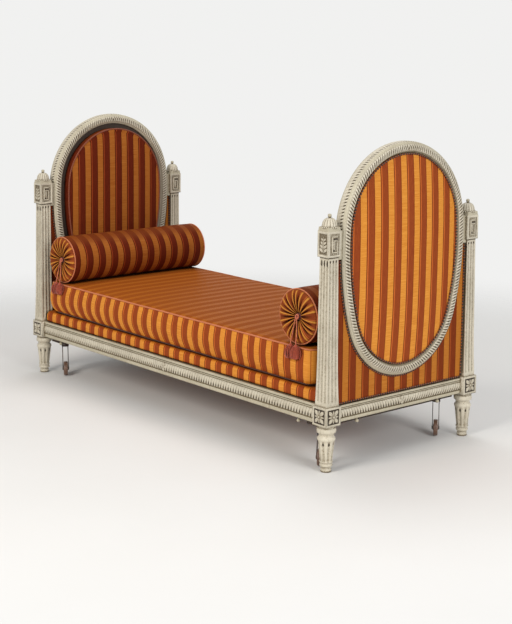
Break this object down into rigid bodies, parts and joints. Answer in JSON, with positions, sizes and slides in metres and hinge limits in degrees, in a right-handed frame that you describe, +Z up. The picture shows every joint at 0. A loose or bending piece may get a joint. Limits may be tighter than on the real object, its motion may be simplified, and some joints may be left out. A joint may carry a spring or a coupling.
{
  "type": "recamier",
  "caption": "Neoclassical daybed with equal oval upholstered ends, low carved rails, a boxed mattress and bolsters, on turned legs with casters behind them.",
  "frame": {"origin": "on the floor, below the middle of the bed", "axes": "+X along the length towards the foot end, +Y across the width towards the back, +Z up"},
  "size_m": [1.998, 0.822, 1.197],
  "materials": {
    "painted_wood": "worn off-white paint with a dark glaze in the hollows",
    "raw_wood": "bare beech",
    "striped_fabric": "ribbed weave with gold stripes on rust",
    "piping": "covered cord",
    "red_trim": "twisted cord, tassels and covered buttons",
    "stuffing": "hidden hair and webbing",
    "dark_iron": "dark worn iron",
    "bare_steel": "dull",
    "wheel_wood": "turned hardwood, worn"
  },
  "bodies": {
    "frame": {"stile_foot_front": "painted_wood", "stile_foot_back": "painted_wood", "stile_head_front": "painted_wood", "stile_head_back": "painted_wood", "finial_foot_front": "painted_wood", "finial_foot_back": "painted_wood", "finial_head_front": "painted_wood", "finial_head_back": "painted_wood", "front_rail": "painted_wood", "back_rail": "painted_wood", "foot_rail": "painted_wood", "head_rail": "painted_wood", "tenon_pegs": "raw_wood", "foot_oval_upper": "painted_wood", "foot_oval_lower": "painted_wood", "head_oval_upper": "painted_wood", "head_oval_lower": "painted_wood", "ear_blocks": "painted_wood", "foot_backing_board": "raw_wood", "head_backing_board": "raw_wood", "foot_outer_panel": "striped_fabric", "head_outer_panel": "striped_fabric", "foot_inner_pad": "striped_fabric", "head_inner_pad": "striped_fabric", "pad_piping": "piping", "foot_spandrel": "striped_fabric", "head_spandrel": "striped_fabric", "slat_bearers": "raw_wood", "slats": "raw_wood", "platform_frame": "raw_wood", "platform_stuffing": "stuffing", "platform_cover": "striped_fabric", "caster_boards": "raw_wood", "caster_screws": "bare_steel", "caster_plate_1": "dark_iron", "caster_plate_2": "dark_iron", "caster_plate_3": "dark_iron", "caster_plate_4": "dark_iron"},
    "mattress": {"mattress": "striped_fabric", "mattress_piping": "piping"},
    "bolster_foot": {"bolster_foot": "striped_fabric", "bolster_foot_trim": "red_trim", "cord_foot": "red_trim", "tassel_foot": "red_trim"},
    "bolster_head": {"bolster_head": "striped_fabric", "bolster_head_trim": "red_trim", "cord_head": "red_trim", "tassel_head": "red_trim"},
    "fork_foot_front": {"caster_fork_1": "dark_iron", "caster_axle_1": "bare_steel"},
    "wheel_foot_front": {"caster_wheel_1": "wheel_wood"},
    "fork_foot_back": {"caster_fork_2": "dark_iron", "caster_axle_2": "bare_steel"},
    "wheel_foot_back": {"caster_wheel_2": "wheel_wood"},
    "fork_head_front": {"caster_fork_3": "dark_iron", "caster_axle_3": "bare_steel"},
    "wheel_head_front": {"caster_wheel_3": "wheel_wood"},
    "fork_head_back": {"caster_fork_4": "dark_iron", "caster_axle_4": "bare_steel"},
    "wheel_head_back": {"caster_wheel_4": "wheel_wood"}
  },
  "joints": [
    {"name": "mattress_lift", "type": "slide", "parent": "frame", "child": "mattress", "axis": [0, 0, 1], "range_m": [0, 0.3]},
    {"name": "bolster_foot_lift", "type": "slide", "parent": "mattress", "child": "bolster_foot", "axis": [0, 0, 1], "range_m": [0, 0.25]},
    {"name": "bolster_head_lift", "type": "slide", "parent": "mattress", "child": "bolster_head", "axis": [0, 0, 1], "range_m": [0, 0.25]},
    {"name": "caster_swivel_foot_front", "type": "hinge", "parent": "frame", "child": "fork_foot_front", "pos_m": [0.875, -0.315, 0.14], "axis": [0, 0, 1], "continuous": true},
    {"name": "wheel_spin_foot_front", "type": "hinge", "parent": "fork_foot_front", "child": "wheel_foot_front", "pos_m": [0.90071, -0.34564, 0.033], "axis": [0.766, 0.6428, 0], "continuous": true},
    {"name": "caster_swivel_foot_back", "type": "hinge", "parent": "frame", "child": "fork_foot_back", "pos_m": [0.875, 0.315, 0.14], "axis": [0, 0, 1], "continuous": true},
    {"name": "wheel_spin_foot_back", "type": "hinge", "parent": "fork_foot_back", "child": "wheel_foot_back", "pos_m": [0.90177, 0.28527, 0.033], "axis": [0.7431, 0.6691, 0], "continuous": true},
    {"name": "caster_swivel_head_front", "type": "hinge", "parent": "frame", "child": "fork_head_front", "pos_m": [-0.875, -0.315, 0.14], "axis": [0, 0, 1], "continuous": true},
    {"name": "wheel_spin_head_front", "type": "hinge", "parent": "fork_head_front", "child": "wheel_head_front", "pos_m": [-0.84036, -0.335, 0.033], "axis": [0.5, 0.866, 0], "continuous": true},
    {"name": "caster_swivel_head_back", "type": "hinge", "parent": "frame", "child": "fork_head_back", "pos_m": [-0.875, 0.315, 0.14], "axis": [0, 0, 1], "continuous": true},
    {"name": "wheel_spin_head_back", "type": "hinge", "parent": "fork_head_back", "child": "wheel_head_back", "pos_m": [-0.90564, 0.34071, 0.033], "axis": [-0.6428, -0.766, 0], "continuous": true}
  ]
}
